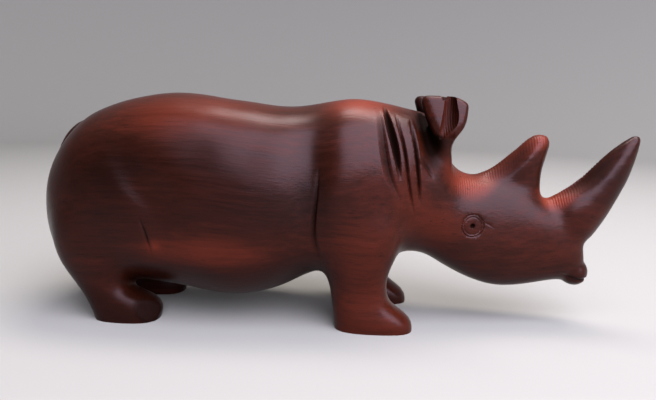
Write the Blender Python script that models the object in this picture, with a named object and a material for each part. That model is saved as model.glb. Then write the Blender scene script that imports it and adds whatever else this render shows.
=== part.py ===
"""A rhinoceros carved from one block of dark red hardwood, standing on four flat soles.

The carver's order is followed: rough forms for the body and legs are worked into one solid
and rubbed down, the tail, lips, horns and ears are worked out of it, the folds, ears and eyes
are cut with the gouge, and the soles are levelled. X runs from rump to horn, Y to the figure's
left, Z up from the table.
"""

import bmesh
import bpy
import numpy as np

# Driving sizes, in metres. The figure is laid out in three-hundredths of its length.
FIGURE_LENGTH = 0.300
MODULE = FIGURE_LENGTH / 300

# How finely the forms are worked together and the cuts made, and what the solid keeps of it.
WORKING_GRAIN = 1.7 * MODULE
FINE_CUT_ROUNDS = 2
TRIANGLES_KEPT = 9600
RING_POINTS = 40

# How far rubbing down reaches, in modules: over the whole figure, then over its small forms.
BODY_RUBBING = 8.6
DETAIL_RUBBING = 6.0

# Body and head, as upright sections from the rump to the lips, in modules:
# place along the figure, height of the top, height of the underside, half width.
BODY_SECTIONS = (
    (-144.6, 62.0, 48.0, 5.0),
    (-143.6, 67.5, 43.6, 12.0),
    (-140.4, 75.0, 37.0, 19.5),
    (-135.0, 85.4, 26.0, 27.5),
    (-127.0, 96.0, 20.0, 33.5),
    (-116.0, 103.6, 17.5, 37.8),
    (-98.0, 109.8, 16.5, 40.5),
    (-76.0, 112.9, 14.0, 41.2),
    (-46.0, 109.8, 9.6, 42.0),
    (-24.0, 107.3, 14.5, 40.5),
    (-6.0, 109.3, 23.5, 38.0),
    (11.0, 112.6, 28.5, 38.2),
    (29.0, 110.4, 33.0, 34.0),
    (40.0, 107.6, 35.6, 29.6),
    (48.0, 106.4, 35.2, 26.4),
    (54.0, 100.0, 32.4, 24.2),
    (61.0, 83.0, 28.2, 22.0),
    (71.0, 75.8, 23.0, 20.0),
    (86.0, 75.6, 18.0, 17.6),
    (101.0, 71.0, 18.8, 14.8),
    (108.0, 66.0, 19.8, 13.6),
    (116.0, 62.5, 21.6, 12.0),
    (126.0, 54.0, 23.0, 9.8),
    (131.6, 44.0, 25.0, 7.2),
    (133.0, 39.0, 29.0, 4.0),
)
BODY_FULLNESS = 2.35
BODY_WIDEST = 0.45

# Legs and horns, as level sections: height, rear edge, front edge, middle in Y, half width.
FRONT_LEG = (
    (-8.0, 6.0, 43.0, 21.8, 9.8),
    (1.0, 5.6, 45.2, 21.8, 10.6),
    (5.5, 4.6, 43.8, 21.8, 10.9),
    (10.0, 3.8, 37.4, 21.6, 10.7),
    (14.5, 3.4, 32.6, 21.4, 10.5),
    (21.0, 2.6, 31.2, 21.6, 10.9),
    (29.0, 0.0, 32.0, 21.8, 12.4),
    (38.0, -2.5, 35.6, 21.4, 15.2),
    (52.0, -2.5, 37.5, 19.6, 17.6),
    (68.0, 3.0, 33.0, 17.0, 16.0),
)
HIND_LEG = (
    (-8.0, -112.6, -83.6, 21.8, 9.6),
    (1.0, -115.0, -82.4, 21.8, 10.6),
    (5.5, -117.0, -81.0, 21.8, 10.9),
    (9.0, -118.6, -83.4, 21.8, 10.9),
    (12.0, -120.6, -89.0, 21.8, 10.9),
    (14.6, -122.2, -95.6, 21.8, 11.0),
    (18.0, -124.4, -98.6, 21.8, 11.2),
    (23.0, -127.6, -98.6, 22.0, 12.2),
    (30.0, -131.0, -96.0, 21.8, 14.4),
    (40.0, -134.0, -86.0, 20.5, 17.6),
    (54.0, -134.5, -80.0, 19.0, 19.0),
    (70.0, -130.0, -88.0, 17.0, 16.0),
)
FRONT_HORN = (
    (44.0, 112.0, 134.8, 0.0, 8.6),
    (52.0, 110.0, 139.9, 0.0, 10.2),
    (59.0, 109.0, 143.6, 0.0, 10.6),
    (64.0, 111.4, 146.1, 0.0, 10.0),
    (68.5, 117.6, 148.0, 0.0, 9.2),
    (75.0, 126.0, 150.6, 0.0, 8.0),
    (83.0, 134.0, 152.8, 0.0, 6.5),
    (90.5, 141.4, 154.4, 0.0, 4.8),
    (95.5, 147.8, 155.2, 0.0, 3.2),
    (98.0, 151.4, 154.6, 0.0, 1.6),
)
REAR_HORN = (
    (60.0, 82.0, 108.5, 0.0, 7.0),
    (68.0, 78.0, 108.4, 0.0, 8.0),
    (74.5, 73.8, 108.0, 0.0, 7.8),
    (79.0, 81.4, 108.4, 0.0, 8.2),
    (84.0, 87.4, 109.0, 0.0, 7.9),
    (88.5, 92.2, 109.8, 0.0, 7.0),
    (92.5, 96.8, 110.4, 0.0, 5.6),
    (95.6, 100.8, 109.6, 0.0, 4.0),
    (97.0, 103.4, 107.4, 0.0, 2.0),
)
LEG_FULLNESS = 2.8
HORN_FULLNESS = 1.75

# Ears, the same way: each stands on a narrow root, flares, and is cut off level at the top.
EAR = (
    (76.0, 49.5, 61.5, 11.5, 5.2),
    (84.0, 50.6, 60.8, 12.8, 5.0),
    (90.5, 51.4, 59.4, 15.0, 6.0),
    (95.0, 50.0, 60.6, 16.4, 7.2),
    (99.5, 48.2, 64.0, 16.8, 7.0),
    (104.0, 46.2, 65.4, 16.6, 6.1),
    (109.0, 44.4, 66.0, 16.2, 5.1),
    (111.2, 43.6, 66.0, 16.0, 4.6),
    (113.2, 43.8, 62.8, 15.9, 4.1),
    (114.6, 45.0, 59.4, 15.8, 3.7),
)
EAR_FULLNESS = 5.0

# The round gouge that hollows the outer face of each ear, as a form like the ear's own.
EAR_CUP = (
    (94.0, 51.4, 53.2, 23.8, 1.2),
    (97.5, 51.8, 56.6, 24.2, 3.6),
    (101.5, 52.4, 60.2, 23.8, 5.2),
    (106.5, 53.2, 60.8, 22.6, 5.6),
    (111.0, 53.8, 60.0, 21.5, 5.8),
    (118.0, 54.4, 59.0, 20.0, 6.0),
)
EAR_CUP_FULLNESS = 2.0

# The notch across the top of each ear, between its two lobes.
EAR_NOTCH = (
    (112.4, 53.2, 55.0, 18.6, 9.0),
    (114.0, 52.4, 55.8, 18.6, 10.0),
    (117.0, 51.2, 57.0, 18.6, 11.0),
)
EAR_NOTCH_FULLNESS = 6.0

# The tail lies in the cleft of the rump: height and middle along the figure of each section.
TAIL = (
    (97.5, -126.5),
    (92.7, -132.6),
    (84.7, -137.4),
    (76.0, -139.8),
    (66.0, -141.8),
    (50.0, -143.0),
    (38.0, -139.2),
    (30.0, -137.2),
    (23.0, -138.4),
    (17.0, -136.6),
)
TAIL_HALF_WIDTH = 3.1
TUFT_HALF_WIDTH = 4.6

# Lips: the middle and the half sizes of the knob at the end of the muzzle.
LIP_MIDDLE = (128.4, 0.0, 27.3)
LIP_HALF = (7.2, 8.6, 7.4)

# Cuts are made alike on both sides. Each has its profile, how far out from the middle it
# starts, and its line: place along the figure, height, depth, how far it opens behind and ahead
# of the line. On a line that runs forward, behind is below and ahead is above.
# Hollows are worked into the body before the small forms are raised on it.
BODY_HOLLOWS = {
    "behind the ear": ("rubbed", 3.0, (
        (43.0, 113.0, 1.0, 4.0, 7.0), (46.0, 102.5, 4.6, 4.6, 9.0),
        (48.8, 93.0, 5.4, 5.4, 8.0), (49.4, 85.0, 2.4, 5.4, 9.0), (48.6, 76.0, 0.0, 4.6, 8.0),
    )),
    "behind the shoulder": ("rubbed", 6.0, (
        (-7.0, 120.0, 0.0, 16.0, 12.0), (-6.6, 100.0, 1.4, 16.0, 13.0),
        (-5.4, 74.0, 2.6, 14.0, 10.0), (-4.6, 48.0, 1.4, 11.0, 5.0), (-2.0, 32.0, 0.0, 6.0, 4.0),
    )),
    "in front of the thigh": ("rubbed", 12.0, (
        (-100.0, 92.0, 0.0, 4.0, 8.0), (-95.0, 82.0, 1.0, 6.8, 15.0), (-88.5, 71.5, 2.0, 7.4, 18.0),
        (-80.0, 62.0, 2.0, 7.4, 18.0), (-74.0, 52.0, 1.1, 8.0, 14.0), (-73.0, 40.0, 0.0, 6.0, 8.0),
    )),
}
GOUGE_CUTS = {
    "first neck fold": ("vee", 8.0, (
        (23.8, 108.0, 0.0, 2.0, 1.0), (26.7, 92.0, 1.1, 3.2, 1.4),
        (29.8, 78.0, 1.0, 3.0, 1.4), (35.0, 66.0, 0.0, 1.6, 1.0),
    )),
    "deep neck fold": ("gouge", 8.0, (
        (26.0, 109.5, 0.0, 0.8, 0.8), (28.4, 101.5, 2.4, 1.7, 1.7),
        (31.7, 89.5, 3.0, 1.8, 2.0), (34.6, 75.5, 0.0, 0.8, 0.8),
    )),
    "third neck fold": ("vee", 8.0, (
        (31.5, 106.0, 0.0, 0.9, 0.9), (36.0, 90.0, 1.5, 1.1, 0.9),
        (38.8, 74.0, 1.3, 1.0, 0.9), (42.2, 58.0, 0.0, 0.7, 0.7),
    )),
    "fourth neck fold": ("vee", 8.0, (
        (38.6, 103.5, 0.0, 0.9, 1.0), (41.4, 89.5, 1.8, 1.1, 1.3),
        (43.2, 76.0, 1.8, 1.0, 1.3), (44.6, 63.5, 0.0, 0.7, 0.8),
    )),
    "crease under the ear": ("vee", 10.0, (
        (44.8, 85.0, 0.0, 1.0, 1.0), (47.4, 80.8, 0.8, 1.0, 1.6), (50.6, 76.0, 0.0, 0.8, 0.8),
    )),
    "slit behind the front leg": ("vee", 12.0, (
        (-3.0, 81.0, 0.0, 1.0, 0.6), (-3.6, 69.0, 0.9, 1.5, 0.8),
        (-4.6, 56.0, 1.2, 1.9, 1.0), (-4.2, 46.0, 0.8, 2.6, 1.5), (-1.0, 36.0, 0.0, 2.4, 1.6),
    )),
    "crease of the groin": ("vee", 12.0, (
        (-85.4, 56.0, 0.0, 0.8, 0.8), (-83.0, 48.5, 0.8, 0.9, 1.3), (-81.4, 42.0, 0.6, 1.0, 1.4),
        (-80.2, 36.5, 0.0, 0.8, 1.0),
    )),
    "mouth": ("vee", 0.6, (
        (119.0, 28.2, 0.0, 0.8, 0.8), (124.5, 25.8, 0.7, 1.1, 1.1),
        (130.0, 24.4, 1.0, 1.3, 1.3), (138.0, 24.6, 1.0, 1.3, 1.3),
    )),
    "corner of the eye": ("vee", 6.0, (
        (76.8, 54.8, 0.0, 0.6, 0.6), (79.2, 53.8, 0.7, 0.7, 0.7), (82.6, 51.6, 0.0, 0.6, 0.6),
    )),
    "flute of the front horn": ("rubbed", 0.6, (
        (113.0, 67.0, 0.0, 3.0, 3.0), (124.0, 71.5, 0.8, 4.6, 4.6),
        (132.0, 77.5, 1.0, 4.4, 4.4), (139.6, 85.5, 0.9, 3.2, 3.2), (147.4, 93.6, 0.0, 2.0, 2.0),
    )),
    "flute of the rear horn": ("rubbed", 0.6, (
        (79.0, 74.5, 0.0, 3.0, 3.0), (87.0, 79.0, 0.7, 4.6, 4.6),
        (93.4, 84.6, 0.9, 4.2, 4.2), (98.6, 90.0, 0.7, 3.2, 3.2), (103.0, 94.6, 0.0, 2.0, 2.0),
    )),
}

# Eyes: rings cut round a pupil on each side of the head.
EYE_MIDDLE = (71.4, 53.0)
EYE_RING_RADII = (5.5, 4.1)
EYE_RING_DEPTHS = (0.7, 0.35)
EYE_RING_HALF_WIDTH = 0.6
PUPIL_RADIUS = 1.25
PUPIL_DEPTH = 1.2

# The outer front corner of each hind hoof is pared off flat: a point of the cut, the way it
# faces on the left side, and the low and high corner of the place it is made in.
PARED_POINT = (-88.2, 32.4, 0.0)
PARED_FACING = (0.703, 0.653, 0.281)
PARED_PLACE = ((-100.0, 14.0, -9.0), (-74.0, 36.0, 14.0))

# Places kept to their lines while the rest is rubbed down: along the figure, height, reach.
FEET_KEPT = ((24.0, -6.0, 32.0), (-98.0, -6.0, 32.0))
TIPS_KEPT = (
    (152.0, 98.0, 36.0),
    (107.5, 98.0, 18.0),
    (55.0, 112.0, 22.0),
    (130.0, 28.0, 13.0),
    (-146.0, 58.0, 44.0),
)
KEPT_FIRMNESS = 0.88


def smooth_rows(rows, per_span=6):
    """A table of sections made finer: each column follows a Catmull-Rom curve through its rows."""
    rows = np.array(rows, float)
    first = 2 * rows[0] - rows[1]
    last = 2 * rows[-1] - rows[-2]
    knots = np.vstack([first, rows, last])
    fine = []
    for k in range(1, len(knots) - 2):
        before, here, there, after = knots[k - 1 : k + 3]
        for t in np.arange(per_span) / per_span:
            fine.append(
                here
                + 0.5 * t * (there - before)
                + t * t * (before - 2.5 * here + 2 * there - 0.5 * after)
                + t * t * t * (1.5 * (here - there) + 0.5 * (after - before))
            )
    fine.append(rows[-1])
    return np.array(fine)


def oval(half_across, half_up, fullness):
    """Points round a superellipse: 2 is an ellipse, and a larger fullness is squarer."""
    turn = np.arange(RING_POINTS) * 2 * np.pi / RING_POINTS
    across = np.sign(np.cos(turn)) * np.abs(np.cos(turn)) ** (2 / fullness)
    up = np.sign(np.sin(turn)) * np.abs(np.sin(turn)) ** (2 / fullness)
    return half_across * across, half_up * up


def loft(block, rings):
    """Skins a row of rings of points into one closed form in the block."""
    made = [[block.verts.new(point * MODULE) for point in ring] for ring in rings]
    faces = [block.faces.new(made[0]), block.faces.new(made[-1])]
    for lower, upper in zip(made, made[1:]):
        for k in range(RING_POINTS):
            n = (k + 1) % RING_POINTS
            faces.append(block.faces.new((lower[k], lower[n], upper[n], upper[k])))
    bmesh.ops.recalc_face_normals(block, faces=faces)


def add_body(block):
    rings = []
    for x, top, bottom, half_width in smooth_rows(BODY_SECTIONS):
        widest = bottom + BODY_WIDEST * (top - bottom)
        y, up = oval(half_width, 1.0, BODY_FULLNESS)
        z = widest + np.where(up > 0, up * (top - widest), up * (widest - bottom))
        rings.append(np.column_stack([np.full_like(y, x), y, z]))
    loft(block, rings)


def add_column(block, rows, fullness, side=1):
    """A leg, horn or ear: level sections stacked from the lowest row to the highest."""
    rings = []
    for z, rear, front, middle, half_width in smooth_rows(rows):
        x, y = oval((front - rear) / 2, half_width, fullness)
        x = x + (front + rear) / 2
        rings.append(np.column_stack([x, side * (y + middle), np.full_like(x, z)]))
    loft(block, rings)


def on_both_sides(rows, fullness):
    """The two forms of a pair, such as legs or ears."""
    return [lambda block, side=side: add_column(block, rows, fullness, side) for side in (-1, 1)]


def add_horns(block):
    for rows in (FRONT_HORN, REAR_HORN):
        add_column(block, rows, HORN_FULLNESS)


def add_tail(block):
    rings = []
    path = smooth_rows(TAIL)
    for k, (z, x) in enumerate(path):
        along = k / (len(path) - 1)
        half = TAIL_HALF_WIDTH + (TUFT_HALF_WIDTH - TAIL_HALF_WIDTH) * along**3
        y, out = oval(half, half, 2)
        rings.append(np.column_stack([x + out, y, np.full_like(y, z)]))
    loft(block, rings)


def add_lips(block):
    made = bmesh.ops.create_uvsphere(block, u_segments=24, v_segments=16, radius=1.0)
    for vert in made["verts"]:
        vert.co = [
            (middle + half * c) * MODULE
            for middle, half, c in zip(LIP_MIDDLE, LIP_HALF, vert.co)
        ]


def finished_mesh(figure):
    """The object's mesh with its modifiers worked in."""
    graph = bpy.context.evaluated_depsgraph_get()
    mesh = bpy.data.meshes.new_from_object(figure.evaluated_get(graph))
    figure.modifiers.clear()
    figure.data = mesh
    return mesh


def put_forms(mesh, forms):
    block = bmesh.new()
    block.from_mesh(mesh)
    for form in forms:
        form(block)
    block.to_mesh(mesh)
    block.free()


def add_forms(figure, forms):
    """Adds rough forms to the figure and works all that overlaps into one skin."""
    put_forms(figure.data, forms)
    skin = figure.modifiers.new("One skin", "REMESH")
    skin.mode = "VOXEL"
    skin.voxel_size = WORKING_GRAIN
    finished_mesh(figure)


def take_away(figure, forms):
    """Cuts forms out of the figure, leaving the edges of the cut sharp."""
    cutter = bpy.data.objects.new("cutter", bpy.data.meshes.new("cutter"))
    bpy.context.scene.collection.objects.link(cutter)
    put_forms(cutter.data, forms)
    cut = figure.modifiers.new("Hollowed", "BOOLEAN")
    cut.operation = "DIFFERENCE"
    cut.object = cutter
    finished_mesh(figure)
    bpy.data.objects.remove(cutter)


def read_points(mesh, what="co"):
    """The mesh's vertices in modules, or their normals."""
    values = np.empty(len(mesh.vertices) * 3, np.float32)
    mesh.vertices.foreach_get(what, values)
    values = values.reshape(-1, 3).astype(float)
    return values / MODULE if what == "co" else values


def write_points(mesh, points):
    mesh.vertices.foreach_set("co", (points * MODULE).astype(np.float32).ravel())
    mesh.update()


def read_edges(mesh):
    edges = np.empty(len(mesh.edges) * 2, np.int32)
    mesh.edges.foreach_get("vertices", edges)
    return edges.reshape(-1, 2)


def ease(value, low, high):
    """Rises smoothly from 0 at low to 1 at high."""
    t = np.clip((value - low) / (high - low), 0, 1)
    return t * t * (3 - 2 * t)


def rub_down(mesh, reach, kept):
    """Smooths the skin over a reach in modules, and less so towards each place kept."""
    points = read_points(mesh)
    a, b = read_edges(mesh).T
    neighbours = np.bincount(np.concatenate([a, b]), minlength=len(points))[:, None]
    firmness = np.zeros(len(points))
    for along, height, kept_reach in kept:
        distance = np.hypot(points[:, 0] - along, points[:, 2] - height)
        firmness = np.maximum(firmness, 1 - ease(distance, 0.5 * kept_reach, kept_reach))
    free = 0.5 * (1 - KEPT_FIRMNESS * firmness)[:, None]
    for _ in range(round((reach * MODULE / WORKING_GRAIN) ** 2)):
        total = np.zeros_like(points)
        np.add.at(total, a, points[b])
        np.add.at(total, b, points[a])
        points += free * (total / neighbours - points)
    write_points(mesh, points)


PROFILES = {
    "vee": lambda across: 1 - across,
    "gouge": lambda across: 1 - across**2,
    "rubbed": lambda across: (1 - across**2) ** 2,
}


def cut_depths(points, cut, margin=0.0):
    """Depth of one cut at each point, and which points lie within a margin of its edges."""
    profile, from_middle, line = cut
    fine = smooth_rows(line, 5)
    widest = fine[:, 3:].max() + margin
    low = fine[:, :2].min(0) - widest
    high = fine[:, :2].max(0) + widest
    side_view = points[:, [0, 2]]
    near = np.all((side_view > low) & (side_view < high), axis=1)
    near &= np.abs(points[:, 1]) > from_middle - margin
    near = np.nonzero(near)[0]
    start, run = fine[:-1, :2], np.diff(fine[:, :2], axis=0)
    offset = side_view[near, None] - start
    along = np.clip((offset * run).sum(2) / (run**2).sum(1), 0, 1)
    gap = offset - along[..., None] * run
    k = (gap**2).sum(2).argmin(1)
    rows = np.arange(len(near))
    here = along[rows, k][:, None]
    depth, behind, ahead = (fine[k] * (1 - here) + fine[k + 1] * here)[:, 2:].T
    gap = gap[rows, k]
    is_ahead = run[k, 0] * gap[:, 1] - run[k, 1] * gap[:, 0] > 0
    opening = np.where(is_ahead, ahead, behind)
    distance = np.hypot(*gap.T)
    across = np.clip(distance / opening, 0, 1)
    depths = np.zeros(len(points))
    depths[near] = depth * PROFILES[profile](across)
    touched = np.zeros(len(points), bool)
    touched[near[distance < opening + margin]] = True
    return depths, touched


def eye_depths(points):
    """Depth of the rings and the pupil at each point, and its distance from the eye's middle."""
    x, z = points[:, 0] - EYE_MIDDLE[0], points[:, 2] - EYE_MIDDLE[1]
    radius = np.hypot(x, z)
    depth = PUPIL_DEPTH * np.clip(1 - (radius / PUPIL_RADIUS) ** 2, 0, 1)
    for ring, ring_depth in zip(EYE_RING_RADII, EYE_RING_DEPTHS):
        depth += ring_depth * np.clip(1 - np.abs(radius - ring) / EYE_RING_HALF_WIDTH, 0, 1)
    return depth, radius


def pared_depths(points):
    """How far each point stands out beyond the flat cut of its hind hoof."""
    left = points * [1, 0, 1] + np.abs(points) * [0, 1, 0]
    inside = np.all((left > PARED_PLACE[0]) & (left < PARED_PLACE[1]), axis=1)
    return np.where(inside, np.clip((left - PARED_POINT) @ np.array(PARED_FACING), 0, None), 0)


def pare_hooves(mesh):
    points = read_points(mesh)
    depth = pared_depths(points)[:, None]
    side = np.sign(points[:, 1:2])
    write_points(mesh, points - depth * np.hstack([side**2, side, side**2]) * PARED_FACING)


def make_faces_finer(mesh, margin):
    """Divides the faces that the sharp cuts and the eyes touch, so that they hold an edge."""
    points = read_points(mesh)
    chosen = eye_depths(points)[1] < max(EYE_RING_RADII) + margin
    chosen |= pared_depths(points) > 0
    for cut in GOUGE_CUTS.values():
        chosen |= cut_depths(points, cut, margin)[1]
    edges = read_edges(mesh)
    marked = np.nonzero(chosen[edges[:, 0]] & chosen[edges[:, 1]])[0]
    block = bmesh.new()
    block.from_mesh(mesh)
    block.edges.ensure_lookup_table()
    bmesh.ops.subdivide_edges(block, edges=[block.edges[k] for k in marked], cuts=1)
    bmesh.ops.triangulate(block, faces=block.faces[:])
    block.to_mesh(mesh)
    block.free()


def push_in(mesh, depths_at):
    """Pushes the skin in where it faces the side that the cuts are made from."""
    points = read_points(mesh)
    outward = read_points(mesh, "normal")
    facing = np.clip(np.sign(points[:, 1]) * outward[:, 1] / 0.25, 0, 1)
    write_points(mesh, points - outward * (depths_at(points) * facing)[:, None])


def hollow_depths(points):
    return sum(cut_depths(points, cut)[0] for cut in BODY_HOLLOWS.values())


def gouge_depths(points):
    return eye_depths(points)[0] + sum(cut_depths(points, cut)[0] for cut in GOUGE_CUTS.values())


def level_soles(figure):
    """Cuts everything below the table away and closes the four soles flat."""
    block = bmesh.new()
    block.from_mesh(figure.data)
    cut = bmesh.ops.bisect_plane(
        block,
        geom=block.verts[:] + block.edges[:] + block.faces[:],
        dist=1e-7,
        plane_co=(0, 0, 0),
        plane_no=(0, 0, 1),
        clear_inner=True,
    )
    rim = [part for part in cut["geom_cut"] if isinstance(part, bmesh.types.BMEdge)]
    bmesh.ops.edgeloop_fill(block, edges=rim)
    bmesh.ops.triangulate(block, faces=block.faces[:])
    block.to_mesh(figure.data)
    block.free()


def centre_along(mesh):
    """Moves the figure so that the origin lies under the middle of its length."""
    points = read_points(mesh)
    points[:, 0] -= (points[:, 0].min() + points[:, 0].max()) / 2
    write_points(mesh, points)


for leftover in list(bpy.data.objects):
    bpy.data.objects.remove(leftover)

rhinoceros = bpy.data.objects.new("rhinoceros", bpy.data.meshes.new("rhinoceros"))
bpy.context.scene.collection.objects.link(rhinoceros)

legs = on_both_sides(FRONT_LEG, LEG_FULLNESS) + on_both_sides(HIND_LEG, LEG_FULLNESS)
add_forms(rhinoceros, [add_body, *legs])
rub_down(rhinoceros.data, BODY_RUBBING, FEET_KEPT)
push_in(rhinoceros.data, hollow_depths)

add_forms(rhinoceros, [add_tail, add_lips, add_horns, *on_both_sides(EAR, EAR_FULLNESS)])
rub_down(rhinoceros.data, DETAIL_RUBBING, FEET_KEPT + TIPS_KEPT)
take_away(rhinoceros, on_both_sides(EAR_CUP, EAR_CUP_FULLNESS))
take_away(rhinoceros, on_both_sides(EAR_NOTCH, EAR_NOTCH_FULLNESS))

for _ in range(FINE_CUT_ROUNDS):
    make_faces_finer(rhinoceros.data, WORKING_GRAIN / MODULE)
push_in(rhinoceros.data, gouge_depths)
pare_hooves(rhinoceros.data)

thin = rhinoceros.modifiers.new("Fewer faces", "DECIMATE")
thin.ratio = TRIANGLES_KEPT / sum(len(face.vertices) - 2 for face in rhinoceros.data.polygons)
thin.use_collapse_triangulate = True
finished_mesh(rhinoceros)
level_soles(rhinoceros)
centre_along(rhinoceros.data)

wood = bpy.data.materials.new("Dark red hardwood")
wood.use_nodes = True
surface = wood.node_tree.nodes["Principled BSDF"]
surface.inputs["Base Color"].default_value = (0.075, 0.016, 0.011, 1)
surface.inputs["Roughness"].default_value = 0.34
rhinoceros.data.materials.clear()
rhinoceros.data.materials.append(wood)
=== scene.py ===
"""The looks of a rhinoceros carved from one block of hardwood, stained dark red and waxed.

The carving is worked as the carver works it: body and legs are roughed out and rubbed down,
tail, lips, horns and ears are raised on it, ears, folds and eyes are cut, and tool marks are left
where the rubbing could not reach. It stands on a pale table in soft light.
"""

import math

import bmesh
import bpy
import numpy as np
from mathutils import Matrix, Vector, noise


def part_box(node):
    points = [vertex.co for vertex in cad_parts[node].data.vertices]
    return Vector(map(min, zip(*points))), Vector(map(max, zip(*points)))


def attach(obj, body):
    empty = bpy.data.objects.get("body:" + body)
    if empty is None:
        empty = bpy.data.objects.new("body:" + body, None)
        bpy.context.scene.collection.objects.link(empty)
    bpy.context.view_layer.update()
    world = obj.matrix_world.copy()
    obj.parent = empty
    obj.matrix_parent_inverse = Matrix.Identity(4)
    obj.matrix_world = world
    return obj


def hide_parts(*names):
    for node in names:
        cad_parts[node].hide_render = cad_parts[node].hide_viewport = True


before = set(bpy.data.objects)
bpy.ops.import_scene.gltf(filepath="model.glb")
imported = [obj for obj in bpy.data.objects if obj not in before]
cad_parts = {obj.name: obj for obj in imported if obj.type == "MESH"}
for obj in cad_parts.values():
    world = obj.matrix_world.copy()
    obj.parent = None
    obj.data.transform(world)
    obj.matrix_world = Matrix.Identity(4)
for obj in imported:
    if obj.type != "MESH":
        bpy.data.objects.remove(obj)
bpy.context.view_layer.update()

# Body and legs
# The block of hardwood is sawn and rasped to a barrel body that runs on into the lowered head,
# on four short legs. All of it is one piece, so the forms are worked into one skin and rubbed
# down over several millimetres.
# The forms are laid out in modules, of which the finished figure is 301 long.
SOLID_LOW, SOLID_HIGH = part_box("rhinoceros")
LENGTH_IN_MODULES = 301.0
MODULE = (SOLID_HIGH.x - SOLID_LOW.x) / LENGTH_IN_MODULES
WORKING_GRAIN = 1.25 * MODULE
RING_POINTS = 64
BODY_RUBBING = 8.6

# Upright sections from the rump to the lips, in modules: place along, top, underside, half width.
BODY_SECTIONS = (
    (-144.6, 62.0, 48.0, 5.0),
    (-143.6, 67.5, 43.6, 12.0),
    (-140.4, 75.0, 37.0, 19.5),
    (-135.0, 85.4, 26.0, 27.5),
    (-127.0, 96.0, 20.0, 33.5),
    (-116.0, 103.6, 17.5, 37.8),
    (-98.0, 109.8, 16.5, 40.5),
    (-76.0, 112.9, 14.0, 41.2),
    (-46.0, 109.8, 9.6, 42.0),
    (-24.0, 107.3, 14.5, 40.5),
    (-6.0, 109.3, 23.5, 38.0),
    (11.0, 112.6, 28.5, 38.2),
    (29.0, 110.4, 33.0, 34.0),
    (40.0, 107.6, 35.6, 29.6),
    (48.0, 106.4, 35.2, 26.4),
    (54.0, 100.0, 32.4, 24.2),
    (61.0, 83.0, 28.2, 22.0),
    (71.0, 75.8, 23.0, 20.0),
    (86.0, 75.6, 18.0, 17.6),
    (101.0, 71.0, 18.8, 14.8),
    (108.0, 66.0, 19.8, 13.6),
    (116.0, 62.5, 21.6, 12.0),
    (126.0, 54.0, 23.0, 9.8),
    (131.6, 44.0, 25.0, 7.2),
    (133.0, 39.0, 29.0, 4.0),
)
BODY_FULLNESS = 2.35
BODY_WIDEST = 0.45

# Level sections of a leg: height, rear edge, front edge, middle in Y, half width.
FRONT_LEG = (
    (-8.0, 6.0, 43.0, 21.8, 9.8),
    (1.0, 5.6, 45.2, 21.8, 10.6),
    (5.5, 4.6, 43.8, 21.8, 10.9),
    (10.0, 3.8, 37.4, 21.6, 10.7),
    (14.5, 3.4, 32.6, 21.4, 10.5),
    (21.0, 2.6, 31.2, 21.6, 10.9),
    (29.0, 0.0, 32.0, 21.8, 12.4),
    (38.0, -2.5, 35.6, 21.4, 15.2),
    (52.0, -2.5, 37.5, 19.6, 17.6),
    (68.0, 3.0, 33.0, 17.0, 16.0),
)
HIND_LEG = (
    (-8.0, -112.6, -83.6, 21.8, 9.6),
    (1.0, -115.0, -82.4, 21.8, 10.6),
    (5.5, -117.0, -81.0, 21.8, 10.9),
    (9.0, -118.6, -83.4, 21.8, 10.9),
    (12.0, -120.6, -89.0, 21.8, 10.9),
    (14.6, -122.2, -95.6, 21.8, 11.0),
    (18.0, -124.4, -98.6, 21.8, 11.2),
    (23.0, -127.6, -98.6, 22.0, 12.2),
    (30.0, -131.0, -96.0, 21.8, 14.4),
    (40.0, -134.0, -86.0, 20.5, 17.6),
    (54.0, -134.5, -80.0, 19.0, 19.0),
    (70.0, -130.0, -88.0, 17.0, 16.0),
)
LEG_FULLNESS = 2.8

# Places that rubbing down spares: along the figure, height, reach. Feet keep their edges.
FEET_KEPT = ((24.0, -6.0, 32.0), (-98.0, -6.0, 32.0))
KEPT_FIRMNESS = 0.88


def smooth_rows(rows, per_span=8):
    """A table of sections made finer: each column follows a Catmull-Rom curve through its rows."""
    rows = np.array(rows, float)
    knots = np.vstack([2 * rows[0] - rows[1], rows, 2 * rows[-1] - rows[-2]])
    fine = []
    for k in range(1, len(knots) - 2):
        before, here, there, after = knots[k - 1 : k + 3]
        for t in np.arange(per_span) / per_span:
            fine.append(
                here
                + 0.5 * t * (there - before)
                + t * t * (before - 2.5 * here + 2 * there - 0.5 * after)
                + t * t * t * (1.5 * (here - there) + 0.5 * (after - before))
            )
    fine.append(rows[-1])
    return np.array(fine)


def oval(half_across, half_up, fullness):
    """Points round a superellipse: 2 is an ellipse, and a larger fullness is squarer."""
    turn = np.arange(RING_POINTS) * 2 * np.pi / RING_POINTS
    across = np.sign(np.cos(turn)) * np.abs(np.cos(turn)) ** (2 / fullness)
    up = np.sign(np.sin(turn)) * np.abs(np.sin(turn)) ** (2 / fullness)
    return half_across * across, half_up * up


def loft(block, rings):
    """Skins a row of rings of points into one closed form in the block."""
    made = [[block.verts.new(point * MODULE) for point in ring] for ring in rings]
    faces = [block.faces.new(made[0]), block.faces.new(made[-1])]
    for lower, upper in zip(made, made[1:]):
        for k in range(RING_POINTS):
            n = (k + 1) % RING_POINTS
            faces.append(block.faces.new((lower[k], lower[n], upper[n], upper[k])))
    bmesh.ops.recalc_face_normals(block, faces=faces)


def add_body(block):
    rings = []
    for x, top, bottom, half_width in smooth_rows(BODY_SECTIONS):
        widest = bottom + BODY_WIDEST * (top - bottom)
        y, up = oval(half_width, 1.0, BODY_FULLNESS)
        z = widest + np.where(up > 0, up * (top - widest), up * (widest - bottom))
        rings.append(np.column_stack([np.full_like(y, x), y, z]))
    loft(block, rings)


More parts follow.
